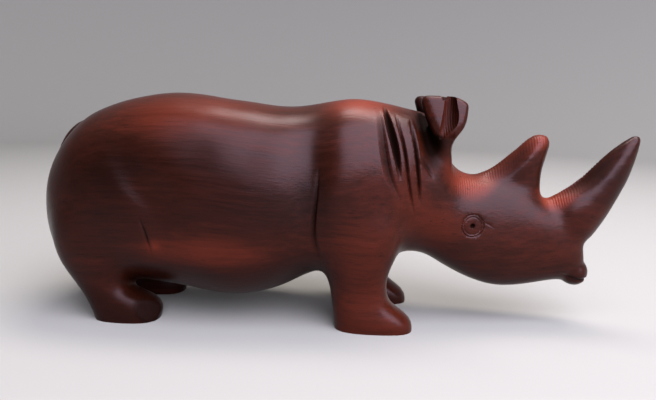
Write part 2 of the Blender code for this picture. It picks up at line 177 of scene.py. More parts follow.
def add_column(block, rows, fullness, side=1):
    """A leg, horn or ear: level sections stacked from the lowest row to the highest."""
    rings = []
    for z, rear, front, middle, half_width in smooth_rows(rows):
        x, y = oval((front - rear) / 2, half_width, fullness)
        x = x + (front + rear) / 2
        rings.append(np.column_stack([x, side * (y + middle), np.full_like(x, z)]))
    loft(block, rings)


def on_both_sides(rows, fullness):
    """The two forms of a pair, such as legs or ears."""
    return [lambda block, side=side: add_column(block, rows, fullness, side) for side in (-1, 1)]


def work_in_modifiers(figure):
    """Makes the figure's mesh what its modifiers make of it."""
    graph = bpy.context.evaluated_depsgraph_get()
    mesh = bpy.data.meshes.new_from_object(figure.evaluated_get(graph))
    figure.modifiers.clear()
    figure.data = mesh


def put_forms(mesh, forms):
    block = bmesh.new()
    block.from_mesh(mesh)
    for form in forms:
        form(block)
    block.to_mesh(mesh)
    block.free()


def add_forms(figure, forms):
    """Adds rough forms to the figure and works all that overlaps into one skin."""
    put_forms(figure.data, forms)
    skin = figure.modifiers.new("One skin", "REMESH")
    skin.mode = "VOXEL"
    skin.voxel_size = WORKING_GRAIN
    work_in_modifiers(figure)


def read_points(mesh, what="co"):
    """The mesh's vertices in modules, or their normals."""
    values = np.empty(len(mesh.vertices) * 3, np.float32)
    mesh.vertices.foreach_get(what, values)
    values = values.reshape(-1, 3).astype(float)
    return values / MODULE if what == "co" else values


def write_points(mesh, points):
    mesh.vertices.foreach_set("co", (points * MODULE).astype(np.float32).ravel())
    mesh.update()


def read_edges(mesh):
    edges = np.empty(len(mesh.edges) * 2, np.int32)
    mesh.edges.foreach_get("vertices", edges)
    return edges.reshape(-1, 2)


def neighbour_mean(points, edges):
    """The mean place of each point's neighbours."""
    a, b = edges.T
    ends, others = np.concatenate([a, b]), np.concatenate([b, a])
    count = np.bincount(ends, minlength=len(points))
    columns = [np.bincount(ends, column[others], len(points)) / count for column in points.T]
    return np.column_stack(columns)


def ease(value, low, high):
    """Rises smoothly from 0 at low to 1 at high."""
    t = np.clip((value - low) / (high - low), 0, 1)
    return t * t * (3 - 2 * t)


def rub_down(mesh, reach, kept):
    """Smooths the skin over a reach in modules, and less so towards each place kept."""
    points = read_points(mesh)
    edges = read_edges(mesh)
    firmness = np.zeros(len(points))
    for along, height, kept_reach in kept:
        distance = np.hypot(points[:, 0] - along, points[:, 2] - height)
        firmness = np.maximum(firmness, 1 - ease(distance, 0.5 * kept_reach, kept_reach))
    free = 0.5 * (1 - KEPT_FIRMNESS * firmness)[:, None]
    for _ in range(round((reach * MODULE / WORKING_GRAIN) ** 2)):
        points += free * (neighbour_mean(points, edges) - points)
    write_points(mesh, points)


carving = bpy.data.objects.new("carved_rhinoceros", bpy.data.meshes.new("carved_rhinoceros"))
bpy.context.scene.collection.objects.link(carving)
legs = on_both_sides(FRONT_LEG, LEG_FULLNESS) + on_both_sides(HIND_LEG, LEG_FULLNESS)
add_forms(carving, [add_body, *legs])
rub_down(carving.data, BODY_RUBBING, FEET_KEPT)

# Hollows of neck, shoulder and thigh
# Broad hollows are worked in with the rasp before the small forms are raised: behind the ears,
# behind the shoulders and in front of the thighs, alike on both sides.
# Each cut has its profile, how far out from the middle it starts, and its line: place along the
# figure, height, depth, how far it opens behind and ahead of the line. On a line that runs
# forward, behind is below and ahead is above.
BODY_HOLLOWS = {
    "behind the ear": ("rubbed", 3.0, (
        (43.0, 113.0, 1.0, 4.0, 7.0), (46.0, 102.5, 4.6, 4.6, 9.0),
        (48.8, 93.0, 5.4, 5.4, 8.0), (49.4, 85.0, 2.4, 5.4, 9.0), (48.6, 76.0, 0.0, 4.6, 8.0),
    )),
    "behind the shoulder": ("rubbed", 6.0, (
        (-7.0, 120.0, 0.0, 16.0, 12.0), (-6.6, 100.0, 1.4, 16.0, 13.0),
        (-5.4, 74.0, 2.6, 14.0, 10.0), (-4.6, 48.0, 1.4, 11.0, 5.0), (-2.0, 32.0, 0.0, 6.0, 4.0),
    )),
    "in front of the thigh": ("rubbed", 12.0, (
        (-100.0, 92.0, 0.0, 4.0, 8.0), (-95.0, 82.0, 1.0, 6.8, 15.0), (-88.5, 71.5, 2.0, 7.4, 18.0),
        (-80.0, 62.0, 2.0, 7.4, 18.0), (-74.0, 52.0, 1.1, 8.0, 14.0), (-73.0, 40.0, 0.0, 6.0, 8.0),
    )),
}
PROFILES = {
    "vee": lambda across: 1 - across,
    "gouge": lambda across: 1 - across**2,
    "rubbed": lambda across: (1 - across**2) ** 2,
}

# A cut has its full depth where the skin faces sideways at least this much, and fades elsewhere.
FULL_DEPTH_FACING = 0.25


def cut_depths(points, cut, margin=0.0):
    """Depth of one cut at each point, and which points lie within a margin of its edges."""
    profile, from_middle, line = cut
    fine = smooth_rows(line, per_span=5)
    widest = fine[:, 3:].max() + margin
    low = fine[:, :2].min(0) - widest
    high = fine[:, :2].max(0) + widest
    side_view = points[:, [0, 2]]
    near = np.all((side_view > low) & (side_view < high), axis=1)
    near &= np.abs(points[:, 1]) > from_middle - margin
    near = np.nonzero(near)[0]
    start, run = fine[:-1, :2], np.diff(fine[:, :2], axis=0)
    offset = side_view[near, None] - start
    along = np.clip((offset * run).sum(2) / (run**2).sum(1), 0, 1)
    gap = offset - along[..., None] * run
    k = (gap**2).sum(2).argmin(1)
    rows = np.arange(len(near))
    here = along[rows, k][:, None]
    depth, behind, ahead = (fine[k] * (1 - here) + fine[k + 1] * here)[:, 2:].T
    gap = gap[rows, k]
    is_ahead = run[k, 0] * gap[:, 1] - run[k, 1] * gap[:, 0] > 0
    opening = np.where(is_ahead, ahead, behind)
    distance = np.hypot(*gap.T)
    across = np.clip(distance / opening, 0, 1)
    depths = np.zeros(len(points))
    depths[near] = depth * PROFILES[profile](across)
    touched = np.zeros(len(points), bool)
    touched[near[distance < opening + margin]] = True
    return depths, touched


def all_depths(points, cuts):
    return sum(cut_depths(points, cut)[0] for cut in cuts.values())


def push_in(mesh, depths_at):
    """Pushes the skin in where it faces the side that the cuts are made from."""
    points = read_points(mesh)
    outward = read_points(mesh, "normal")
    facing = np.clip(np.sign(points[:, 1]) * outward[:, 1] / FULL_DEPTH_FACING, 0, 1)
    write_points(mesh, points - outward * (depths_at(points) * facing)[:, None])


push_in(carving.data, lambda points: all_depths(points, BODY_HOLLOWS))

# Horns, ears, tail and lips
# Small forms raised on the body: two horns of diamond section, ears cut off level at the top, a
# tail that lies in the cleft of the rump and a knob of lips. Their tips are left crisp.
FRONT_HORN = (
    (44.0, 112.0, 134.8, 0.0, 8.6),
    (52.0, 110.0, 139.9, 0.0, 10.2),
    (59.0, 109.0, 143.6, 0.0, 10.6),
    (64.0, 111.4, 146.1, 0.0, 10.0),
    (68.5, 117.6, 148.0, 0.0, 9.2),
    (75.0, 126.0, 150.6, 0.0, 8.0),
    (83.0, 134.0, 152.8, 0.0, 6.5),
    (90.5, 141.4, 154.4, 0.0, 4.8),
    (95.5, 147.8, 155.2, 0.0, 3.2),
    (98.0, 151.4, 154.6, 0.0, 1.6),
)
REAR_HORN = (
    (60.0, 82.0, 108.5, 0.0, 7.0),
    (68.0, 78.0, 108.4, 0.0, 8.0),
    (74.5, 73.8, 108.0, 0.0, 7.8),
    (79.0, 81.4, 108.4, 0.0, 8.2),
    (84.0, 87.4, 109.0, 0.0, 7.9),
    (88.5, 92.2, 109.8, 0.0, 7.0),
    (92.5, 96.8, 110.4, 0.0, 5.6),
    (95.6, 100.8, 109.6, 0.0, 4.0),
    (97.0, 103.4, 107.4, 0.0, 2.0),
)
HORN_FULLNESS = 1.75
EAR = (
    (76.0, 49.5, 61.5, 11.5, 5.2),
    (84.0, 50.6, 60.8, 12.8, 5.0),
    (90.5, 51.4, 59.4, 15.0, 6.0),
    (95.0, 50.0, 60.6, 16.4, 7.2),
    (99.5, 48.2, 64.0, 16.8, 7.0),
    (104.0, 46.2, 65.4, 16.6, 6.1),
    (109.0, 44.4, 66.0, 16.2, 5.1),
    (111.2, 43.6, 66.0, 16.0, 4.6),
    (113.2, 43.8, 62.8, 15.9, 4.1),
    (114.6, 45.0, 59.4, 15.8, 3.7),
)
EAR_FULLNESS = 5.0

# The tail: height and middle along the figure of each section.
TAIL = (
    (97.5, -126.5),
    (92.7, -132.6),
    (84.7, -137.4),
    (76.0, -139.8),
    (66.0, -141.8),
    (50.0, -143.0),
    (38.0, -139.2),
    (30.0, -137.2),
    (23.0, -138.4),
    (17.0, -136.6),
)
TAIL_HALF_WIDTH = 3.1
TUFT_HALF_WIDTH = 4.6
TAIL_FULLNESS = 2.0
LIP_MIDDLE = (128.4, 0.0, 27.3)
LIP_HALF = (7.2, 8.6, 7.4)
DETAIL_RUBBING = 6.0
TIPS_KEPT = (
    (152.0, 98.0, 36.0),
    (107.5, 98.0, 18.0),
    (55.0, 112.0, 22.0),
    (130.0, 28.0, 13.0),
    (-146.0, 58.0, 44.0),
)


def add_horns(block):
    for rows in (FRONT_HORN, REAR_HORN):
        add_column(block, rows, HORN_FULLNESS)


def add_tail(block):
    rings = []
    path = smooth_rows(TAIL)
    for k, (z, x) in enumerate(path):
        along = k / (len(path) - 1)
        half = TAIL_HALF_WIDTH + (TUFT_HALF_WIDTH - TAIL_HALF_WIDTH) * along**3
        y, out = oval(half, half, TAIL_FULLNESS)
        rings.append(np.column_stack([x + out, y, np.full_like(y, z)]))
    loft(block, rings)


def add_lips(block):
    made = bmesh.ops.create_uvsphere(block, u_segments=32, v_segments=24, radius=1.0)
    for vert in made["verts"]:
        vert.co = [
            (middle + half * c) * MODULE
            for middle, half, c in zip(LIP_MIDDLE, LIP_HALF, vert.co)
        ]


add_forms(carving, [add_tail, add_lips, add_horns, *on_both_sides(EAR, EAR_FULLNESS)])
rub_down(carving.data, DETAIL_RUBBING, FEET_KEPT + TIPS_KEPT)

# Hollows of the ears
# In each ear a round gouge is driven down from the top and leaves a leaf-shaped hollow with a
# crisp rim. A notch is then cut across the top.
EAR_CUP = (
    (94.0, 51.4, 53.2, 23.8, 1.2),
    (97.5, 51.8, 56.6, 24.2, 3.6),
    (101.5, 52.4, 60.2, 23.8, 5.2),
    (106.5, 53.2, 60.8, 22.6, 5.6),
    (111.0, 53.8, 60.0, 21.5, 5.8),
    (118.0, 54.4, 59.0, 20.0, 6.0),
)
EAR_CUP_FULLNESS = 2.0

# The notch across the top of each ear, between its two lobes.
EAR_NOTCH = (
    (112.4, 53.2, 55.0, 18.6, 9.0),
    (114.0, 52.4, 55.8, 18.6, 10.0),
    (117.0, 51.2, 57.0, 18.6, 11.0),
)
EAR_NOTCH_FULLNESS = 6.0


def take_away(figure, forms):
    """Cuts forms out of the figure, leaving the edges of the cut sharp."""
    cutter = bpy.data.objects.new("cutter", bpy.data.meshes.new("cutter"))
    bpy.context.scene.collection.objects.link(cutter)
    put_forms(cutter.data, forms)
    cut = figure.modifiers.new("Hollowed", "BOOLEAN")
    cut.operation = "DIFFERENCE"
    cut.object = cutter
    work_in_modifiers(figure)
    bpy.data.objects.remove(cutter)


take_away(carving, on_both_sides(EAR_CUP, EAR_CUP_FULLNESS))
take_away(carving, on_both_sides(EAR_NOTCH, EAR_NOTCH_FULLNESS))

# Folds, creases and mouth
# Sharp lines are cut with a V tool and a small gouge: four folds of the neck, the creases under
# the ear, behind the front leg and at the groin, the mouth and the corner of the eye. A shallow
# flute is rubbed along each side of both horns.
GOUGE_CUTS = {
    "first neck fold": ("vee", 8.0, (
        (23.8, 108.0, 0.0, 2.0, 1.0), (26.7, 92.0, 1.1, 3.2, 1.4),
        (29.8, 78.0, 1.0, 3.0, 1.4), (35.0, 66.0, 0.0, 1.6, 1.0),
    )),
    "deep neck fold": ("gouge", 8.0, (
        (26.0, 109.5, 0.0, 0.8, 0.8), (28.4, 101.5, 2.4, 1.7, 1.7),
        (31.7, 89.5, 3.0, 1.8, 2.0), (34.6, 75.5, 0.0, 0.8, 0.8),
    )),
    "third neck fold": ("vee", 8.0, (
        (31.5, 106.0, 0.0, 0.9, 0.9), (36.0, 90.0, 1.5, 1.1, 0.9),
        (38.8, 74.0, 1.3, 1.0, 0.9), (42.2, 58.0, 0.0, 0.7, 0.7),
    )),
    "fourth neck fold": ("vee", 8.0, (
        (38.6, 103.5, 0.0, 0.9, 1.0), (41.4, 89.5, 1.8, 1.1, 1.3),
        (43.2, 76.0, 1.8, 1.0, 1.3), (44.6, 63.5, 0.0, 0.7, 0.8),
    )),
    "crease under the ear": ("vee", 10.0, (
        (44.8, 85.0, 0.0, 1.0, 1.0), (47.4, 80.8, 0.8, 1.0, 1.6), (50.6, 76.0, 0.0, 0.8, 0.8),
    )),
    "slit behind the front leg": ("vee", 12.0, (
        (-3.0, 81.0, 0.0, 1.0, 0.6), (-3.6, 69.0, 0.9, 1.5, 0.8),
        (-4.6, 56.0, 1.2, 1.9, 1.0), (-4.2, 46.0, 0.8, 2.6, 1.5), (-1.0, 36.0, 0.0, 2.4, 1.6),
    )),
    "crease of the groin": ("vee", 12.0, (
        (-85.4, 56.0, 0.0, 0.8, 0.8), (-83.0, 48.5, 0.8, 0.9, 1.3), (-81.4, 42.0, 0.6, 1.0, 1.4),
        (-80.2, 36.5, 0.0, 0.8, 1.0),
    )),
    "mouth": ("vee", 0.6, (
        (119.0, 28.2, 0.0, 0.8, 0.8), (124.5, 25.8, 0.7, 1.1, 1.1),
        (130.0, 24.4, 1.0, 1.3, 1.3), (138.0, 24.6, 1.0, 1.3, 1.3),
    )),
    "corner of the eye": ("vee", 6.0, (
        (76.8, 54.8, 0.0, 0.5, 0.5), (79.2, 53.8, 0.30, 0.6, 0.6), (82.6, 51.6, 0.0, 0.5, 0.5),
    )),
    "flute of the front horn": ("rubbed", 0.6, (
        (113.0, 67.0, 0.0, 3.0, 3.0), (124.0, 71.5, 0.8, 4.6, 4.6),
        (132.0, 77.5, 1.0, 4.4, 4.4), (139.6, 85.5, 0.9, 3.2, 3.2), (147.4, 93.6, 0.0, 2.0, 2.0),
    )),
    "flute of the rear horn": ("rubbed", 0.6, (
        (79.0, 74.5, 0.0, 3.0, 3.0), (87.0, 79.0, 0.7, 4.6, 4.6),
        (93.4, 84.6, 0.9, 4.2, 4.2), (98.6, 90.0, 0.7, 3.2, 3.2), (103.0, 94.6, 0.0, 2.0, 2.0),
    )),
}
FINE_CUT_ROUNDS = 2


def make_faces_finer(mesh, chosen_at):
    """Divides the faces that sharp cuts or marks touch, so that they hold an edge."""
    chosen = chosen_at(read_points(mesh))
    edges = read_edges(mesh)
    marked = np.nonzero(chosen[edges[:, 0]] & chosen[edges[:, 1]])[0]
    block = bmesh.new()
    block.from_mesh(mesh)
    block.edges.ensure_lookup_table()
    bmesh.ops.subdivide_edges(block, edges=[block.edges[k] for k in marked], cuts=1)
    bmesh.ops.triangulate(block, faces=block.faces[:])
    block.to_mesh(mesh)
    block.free()


# Rasped dips and gouged ears
# The dips of forehead and muzzle are left as the rasp cut them, in fine upright ribs, and the
# hollows of the ears show the strokes of the small gouge.
RASPED = {
    "forehead": ("rubbed", 0.0, (
        (55.0, 88.0, 0.0, 4.0, 4.0), (60.0, 80.0, 0.4, 8.0, 6.0), (67.0, 74.0, 1.0, 10.0, 8.0),
        (75.0, 72.0, 0.9, 8.5, 8.0), (84.0, 77.5, 0.5, 6.0, 8.0), (95.0, 87.5, 0.3, 5.0, 8.0),
        (105.5, 95.0, 0.7, 6.0, 6.0),
    )),
    "between the horns": ("rubbed", 0.0, (
        (107.0, 69.0, 0.3, 4.0, 4.0), (112.0, 64.5, 1.0, 6.0, 8.0), (119.0, 66.5, 0.8, 5.0, 8.0),
        (129.0, 75.0, 0.2, 4.0, 6.0), (144.0, 91.0, 0.0, 3.0, 4.0),
    )),
}
RIB_SPACING = 1.2
RIB_DEPTH = 0.08
RIB_SWAY = 0.5
RIB_SWAY_REACH = 7.0
EAR_STROKE_SPACING = 1.0
EAR_STROKE_DEPTH = 0.09
EAR_HOLLOW = ((52.0, 14.0, 95.0), (59.8, 22.1, 114.4))
EAR_LEAN = 0.28
EAR_MIDDLE_HEIGHT = 104.0
UNEVEN_REACH = 17.0
UNEVEN_DEPTH = 0.30


def in_ear_hollow(points):
    """Which points lie in the hollows of the ears, whose outer faces lean in towards the top."""
    x, y, z = points.T
    upright = np.column_stack([x, np.abs(y) + EAR_LEAN * (z - EAR_MIDDLE_HEIGHT), z])
    return np.all((upright > EAR_HOLLOW[0]) & (upright < EAR_HOLLOW[1]), axis=1)


def wander_at(points, reach):
    """Smooth noise between -1 and 1 that changes over the given reach in modules."""
    return np.array([noise.noise(point) for point in points / reach])


def mark_skin(mesh):
    """Rasps and strokes the skin, and leaves the rest as uneven as hand rubbing does."""
    points = read_points(mesh)
    outward = read_points(mesh, "normal")
    sway = points[:, 0] + RIB_SWAY * wander_at(points, RIB_SWAY_REACH)
    ribs = RIB_DEPTH * np.cos(sway * 2 * np.pi / RIB_SPACING) * all_depths(points, RASPED)
    turn = sway * 2 * np.pi / EAR_STROKE_SPACING
    strokes = EAR_STROKE_DEPTH * np.cos(turn) * in_ear_hollow(points)
    uneven = UNEVEN_DEPTH * wander_at(points, UNEVEN_REACH)
    write_points(mesh, points + outward * (ribs + strokes + uneven)[:, None])


# Eyes
# Each eye is cut in the wood of the head: two rings round a drilled pupil. The rings are made
# with the tip of the V tool, so they are shallow and thin.
EYE_MIDDLE = (71.4, 53.0)
EYE_RING_RADII = (5.5, 4.3)
EYE_RING_DEPTHS = (0.5, 0.3)
EYE_RING_HALF_WIDTH = 0.5
PUPIL_RADIUS = 1.25
PUPIL_DEPTH = 1.2


def eye_depths(points):
    """Depth of the rings and the pupil at each point, and its distance from the eye's middle."""
    x, z = points[:, 0] - EYE_MIDDLE[0], points[:, 2] - EYE_MIDDLE[1]
    radius = np.hypot(x, z)
    depth = PUPIL_DEPTH * np.clip(1 - (radius / PUPIL_RADIUS) ** 2, 0, 1)
    for ring, ring_depth in zip(EYE_RING_RADII, EYE_RING_DEPTHS):
        depth += ring_depth * np.clip(1 - np.abs(radius - ring) / EYE_RING_HALF_WIDTH, 0, 1)
    return depth, radius


# Hind hoofs
# The outer front corner of each hind hoof is pared off flat with a chisel. The cut has a point
# that it passes through, the way it faces on the left side, and the low and high corner of the
# place it is made in. Elsewhere a point counts as lying this far behind it.
PARED_POINT = (-88.2, 32.4, 0.0)
PARED_FACING = (0.703, 0.653, 0.281)
PARED_PLACE = ((-100.0, 14.0, -9.0), (-74.0, 36.0, 14.0))
FAR_BEHIND = -5.0


def beyond_paring(points):
    """How far each point lies beyond the flat cut of its hind hoof: less than 0 is behind it."""
    left = points * [1, 0, 1] + np.abs(points) * [0, 1, 0]
    inside = np.all((left > PARED_PLACE[0]) & (left < PARED_PLACE[1]), axis=1)
    return np.where(inside, (left - PARED_POINT) @ np.array(PARED_FACING), FAR_BEHIND)


def pare_hoofs(mesh):
    points = read_points(mesh)
    depth = np.clip(beyond_paring(points), 0, None)[:, None]
    side = np.sign(points[:, 1:2])
    write_points(mesh, points - depth * np.hstack([side**2, side, side**2]) * PARED_FACING)


# All cuts and marks
# The skin is made finer where a tool touches it, cut and marked, and thinned out again where it
# is plain, which keeps the carving under 200,000 triangles.
MARKED_DEPTH = 0.20
TRIANGLES_KEPT = 190000


def touched_by_tools(points):
    """Which points a sharp cut, an eye, the paring or the rasp touches."""
    margin = WORKING_GRAIN / MODULE
    chosen = eye_depths(points)[1] < max(EYE_RING_RADII) + margin
    chosen |= (beyond_paring(points) > 0) | (all_depths(points, RASPED) > MARKED_DEPTH)
    chosen |= in_ear_hollow(points)
    for cut in GOUGE_CUTS.values():
        if cut[0] != "rubbed":
            chosen |= cut_depths(points, cut, margin)[1]
    return chosen


def sharp_depths(points):
    return eye_depths(points)[0] + all_depths(points, GOUGE_CUTS)


for _ in range(FINE_CUT_ROUNDS):
    make_faces_finer(carving.data, touched_by_tools)
push_in(carving.data, sharp_depths)
pare_hoofs(carving.data)
mark_skin(carving.data)
thin = carving.modifiers.new("Fewer faces on plain skin", "DECIMATE")
thin.ratio = TRIANGLES_KEPT / sum(len(face.vertices) - 2 for face in carving.data.polygons)
thin.use_collapse_triangulate = True
work_in_modifiers(carving)

# Wear, grime and painted light
# Dark wax stays in the cuts. The cuts, the pupils, the hollow behind each ear and the front of
# each ear's hollow are also painted darker as painted shade. The hind hoofs and their pared corners
# are darker. The rasped dips are paler and redder, and so are the places that hands have worn. A
# paler, redder band along the top of withers and loin is a painted highlight, and a redder band on
# the belly is painted light thrown up from the table. The stain took unevenly: redder on croup,
# neck and cheek, deeper on the rump, and deeper in a band behind the shoulder as painted shade. All
# of it is kept on the skin as amounts from 0 to 1.
# Each stain or painted light patch: place along, height, reach along and up, how much redder it is,
# or deeper if less than nothing. Each worn patch ends with how worn it is, or how strong its
# painted light is.
STAIN_AND_LIT_PATCHES = (
    (-83.0, 104.0, 26.0, 9.0, 0.25),
    (-56.0, 102.0, 28.0, 9.0, 0.20),
    (-94.0, 82.0, 17.0, 18.0, -0.40),
    (-114.0, 56.0, 20.0, 22.0, -0.15),
    (-60.0, 86.0, 18.0, 11.0, -0.25),
    # Painted light thrown up from the table onto the belly:
    (-52.0, 40.0, 26.0, 8.0, 0.75),
    (-79.0, 41.0, 5.0, 4.0, 0.30),
    # Painted shade in the hollow behind the shoulder:
    (-5.0, 80.0, 8.0, 22.0, -0.25),
    # Painted highlight on the withers:
    (16.0, 108.0, 12.0, 5.0, 0.60),
    (20.0, 46.0, 18.0, 34.0, 0.40),
    (40.0, 66.0, 10.0, 14.0, 0.35),
    (54.0, 54.0, 14.0, 13.0, 0.45),
)
WORN_AND_LIT_PATCHES = (
    # Painted highlights along the top of the withers and the loin:
    (15.0, 110.0, 15.0, 5.0, 0.70),
    (-56.0, 107.0, 26.0, 5.0, 0.15),
    # Painted light thrown up from the table onto the belly:
    (-50.0, 40.0, 22.0, 6.0, 0.25),
    (-79.0, 41.5, 2.2, 2.2, 0.50),
)

# The painted shade behind the ear fades out upwards and outwards onto the face of the ear. The
# painted shade in the ear's hollow fades in towards its front. The darkening of the hind foot fades
# in back and down, that of the pared corner up to it, and the painted shade of the pupil in to it.
# Each fades over a range in modules.
EAR_FACE_UP = (95.0, 98.0)
EAR_FACE_OUT = (18.0, 20.5)
EAR_HOLLOW_FORWARD = (52.0, 60.0)
HIND_FOOT_BACK = (76.0, 84.0)
HIND_FOOT_DOWN = (-22.0, -12.0)
PARED_EDGE = (-1.5, -0.1)
PUPIL_INWARD = (-1.7, -1.0)

# The depths at which a cut and the hollow behind the ear are as dark as their painted shade gets,
# what share of its depth counts in an eye, and how much darkening, painted shade and wear the other
# places hold.
DARK_CUT_DEPTH = 1.4
DARK_HOLLOW_DEPTH = 3.0
EYE_DEPTH_SHARE = 0.5
HIND_FOOT_DARKENING = 0.30
PARED_DARKENING = 0.45
EAR_HOLLOW_SHADE = 0.25
EAR_HOLLOW_FRONT_SHADE = 0.55
EAR_HOLLOW_WEAR = 0.25
STAIN_ELSEWHERE = 0.5


def patches_at(points, patches):
    """The amounts of all patches at each point, each fading out over its reach."""
    total = np.zeros(len(points))
    for along, height, reach_along, reach_up, amount in patches:
        away = ((points[:, 0] - along) / reach_along) ** 2
        away += ((points[:, 2] - height) / reach_up) ** 2
        total += amount * np.exp(-away)
    return total


def keep_amount(mesh, name, amount):
    layer = mesh.attributes.new(name, "FLOAT", "POINT")
    layer.data.foreach_set("value", np.clip(amount, 0, 1).astype(np.float32))


skin = read_points(carving.data)
behind_ear = cut_depths(skin, BODY_HOLLOWS["behind the ear"])[0]
in_hollow = in_ear_hollow(skin)
towards_front = ease(skin[:, 0], *EAR_HOLLOW_FORWARD)
pared = ease(beyond_paring(skin), *PARED_EDGE)
eye_depth, from_eye = eye_depths(skin)
cuts = all_depths(skin, GOUGE_CUTS) + EYE_DEPTH_SHARE * eye_depth + ease(-from_eye, *PUPIL_INWARD)
ear_face = ease(skin[:, 2], *EAR_FACE_UP) * ease(np.abs(skin[:, 1]), *EAR_FACE_OUT)
hind_foot = ease(-skin[:, 0], *HIND_FOOT_BACK) * ease(-skin[:, 2], *HIND_FOOT_DOWN)
# Painted shade, with dark wax in the cuts: darker in cuts and pupils, behind the ears and towards
# the front of the ears' hollows. Hind hoofs and pared corners are darker too.
grime_and_shade = cuts / DARK_CUT_DEPTH + behind_ear * (1 - ear_face) / DARK_HOLLOW_DEPTH
grime_and_shade += HIND_FOOT_DARKENING * hind_foot + PARED_DARKENING * pared
grime_and_shade += in_hollow * (EAR_HOLLOW_SHADE + EAR_HOLLOW_FRONT_SHADE * towards_front)
# Worn and rasped wood, with painted highlights on withers and loin and painted bounce light on the
# belly.
worn_and_lit = all_depths(skin, RASPED) + patches_at(skin, WORN_AND_LIT_PATCHES) + EAR_HOLLOW_WEAR * in_hollow
keep_amount(carving.data, "grime_and_shade", grime_and_shade)
keep_amount(carving.data, "wear_and_painted_light", worn_and_lit)
# Uneven stain, with painted bounce light on the belly, a painted highlight on the withers and
# painted shade behind the shoulder.
keep_amount(carving.data, "stain and painted light", STAIN_ELSEWHERE + patches_at(skin, STAIN_AND_LIT_PATCHES))

# Soles
# The feet are sawn level, so the figure stands on four flat soles on the table. The carving is
# then set in the solid's box, and what bends by more than 38 degrees is shown as an edge.


def level_soles(figure):
    """Cuts everything below the table away and closes the four soles flat."""
    block = bmesh.new()
    block.from_mesh(figure.data)
    cut = bmesh.ops.bisect_plane(
        block,
        geom=block.verts[:] + block.edges[:] + block.faces[:],
        dist=1e-7,
        plane_co=(0, 0, 0),
        plane_no=(0, 0, 1),
        clear_inner=True,
    )
    rim = [part for part in cut["geom_cut"] if isinstance(part, bmesh.types.BMEdge)]
    bmesh.ops.edgeloop_fill(block, edges=rim)
    bmesh.ops.triangulate(block, faces=block.faces[:])
    block.to_mesh(figure.data)
    block.free()


def fit_to_solid(mesh):
    """Sets the carving in the box of the solid that it stands for."""
    points = read_points(mesh) * MODULE
    low, high = points.min(0), points.max(0)
    solid_low, solid_high = np.array(SOLID_LOW), np.array(SOLID_HIGH)
    points = solid_low + (points - low) * (solid_high - solid_low) / (high - low)
    write_points(mesh, points / MODULE)


level_soles(carving)
fit_to_solid(carving.data)
EDGE_ANGLE = math.radians(38)
carving.data.shade_smooth()
carving.data.set_sharp_from_angle(angle=EDGE_ANGLE)

# Stained hardwood, waxed
# Dense hardwood stained dark red and rubbed with wax: a deep red-brown that shows fine grain
# along the figure, under a soft shine that mirrors the light as wide pale veils.
# Sizes are in metres. Real fibres are finer than a picture shows, so they are drawn 0.4 mm wide.
STAIN_DEEP = "#140502"
STAIN_MIDDLE = "#230A04"
STAIN_RED = "#3C1308"
WEAR_AND_LIGHT_RED = "#7A2E1C"
PORE_GRIME_AND_SHADE_BROWN = "#0C0402"
SHINE_TINT = "#FFE2EC"
PATCH_LENGTH = 0.070
PATCH_WIDTH = 0.026
STREAK_LENGTH = 0.016
STREAK_WIDTH = 0.0011
FIBRE_LENGTH = 0.005
FIBRE_WIDTH = 0.0004
GRAIN_SLOPE = math.radians(-3)
GRAIN_BEND = (0.004, 0.004, 0.012)
BENDS_PER_METRE = 14.0

# How far the redness follows the stain taken with its painted light and shade and the grain, and
# the redness of each colour.
STAIN_AND_LIGHT_SHARE = 0.30
PATCH_SHARE = 0.45
STREAK_SHARE = 0.17
FIBRE_SHARE = 0.13
STAIN_STOPS = ((0.26, STAIN_DEEP), (0.37, STAIN_MIDDLE), (0.50, STAIN_RED))

# Dark pores show in the palest fibres. Rasped and worn wood, the painted highlights and the painted
# bounce light show some of their red everywhere, and more of it in patches. Where shade is painted
# the wax is rougher and shines less.
PORE_FIBRES = (0.62, 0.80)
WEAR_AND_LIGHT_PATCH_RANGE = (0.3, 0.7)
WEAR_AND_LIGHT_LEAST = 0.3
WEAR_AND_LIGHT_PATCHY = 0.5
WAXED_ROUGHNESS = 0.31
STREAK_ROUGHNESS = 0.16
GRIME_AND_SHADE_ROUGHNESS = 0.30
WEAR_AND_LIGHT_ROUGHNESS = 0.10
WAXED_SHINE = 0.16
GRIME_AND_SHADE_DULLING = 0.9
WAX_INDEX = 1.5
RELIEF_STREAKS = 0.5
RELIEF_STRENGTH = 0.30
RELIEF_DEPTH = 0.0002


def linear(hex_colour):
    """An sRGB hex colour as the linear colour that a socket takes."""
    parts = [int(hex_colour[k : k + 2], 16) / 255 for k in (1, 3, 5)]
    return [c / 12.92 if c <= 0.04045 else ((c + 0.055) / 1.055) ** 2.4 for c in parts] + [1.0]


def add(tree, kind, inputs=None, **settings):
    """Adds a node with its settings, and its inputs as values or as links from other nodes."""
    node = tree.nodes.new("ShaderNode" + kind)
    for name, value in settings.items():
        setattr(node, name, value)
    for socket, value in (inputs or {}).items():
        if isinstance(value, bpy.types.NodeSocket):
            tree.links.new(value, node.inputs[socket])
        else:
            node.inputs[socket].default_value = value
    return node


wood = bpy.data.materials.new("Stained hardwood, waxed")
wood.use_nodes = True
tree = wood.node_tree
tree.nodes.clear()
place = add(tree, "TexCoord").outputs["Object"]
bend = add(tree, "TexNoise", {"Vector": place, "Scale": BENDS_PER_METRE, "Detail": 1.0})
bend = add(tree, "VectorMath", {0: bend.outputs["Color"], 1: GRAIN_BEND}, operation="MULTIPLY")
bent = add(tree, "VectorMath", {0: place, 1: bend.outputs[0]}, operation="ADD").outputs[0]


